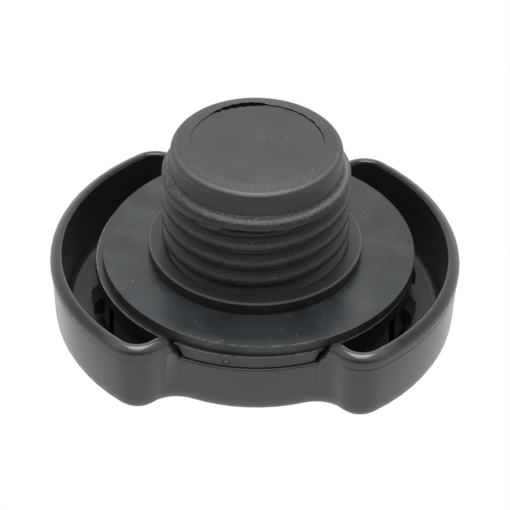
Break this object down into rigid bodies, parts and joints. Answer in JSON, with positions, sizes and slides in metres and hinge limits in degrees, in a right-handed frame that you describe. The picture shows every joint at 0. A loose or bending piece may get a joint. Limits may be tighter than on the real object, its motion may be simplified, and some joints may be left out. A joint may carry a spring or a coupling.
{
  "type": "oil filler cap",
  "caption": "Screw-in oil filler cap: two-lobed grip handle, snap-in carrier, flat sealing gasket, threaded hollow plug and closing disc.",
  "frame": {"origin": "centre of the handle's outer face, the face the cap lies on in storage", "axes": "+Z along the thread axis from the handle to the plug's end; +X towards one grip wing; +Y along the flattened side"},
  "size_m": [0.079, 0.0642, 0.0414],
  "materials": {
    "handle_plastic": "fine satin mould grain",
    "carrier_plastic": "fine mould grain",
    "gasket_rubber": "smooth cut sheet, slightly smudged",
    "plug_plastic": "coarse mould grain",
    "disc_plastic": "smooth with light scratches"
  },
  "bodies": {
    "root": {"handle": "handle_plastic", "carrier": "carrier_plastic", "gasket": "gasket_rubber", "plug": "plug_plastic", "end_disc": "disc_plastic"}
  },
  "joints": []
}
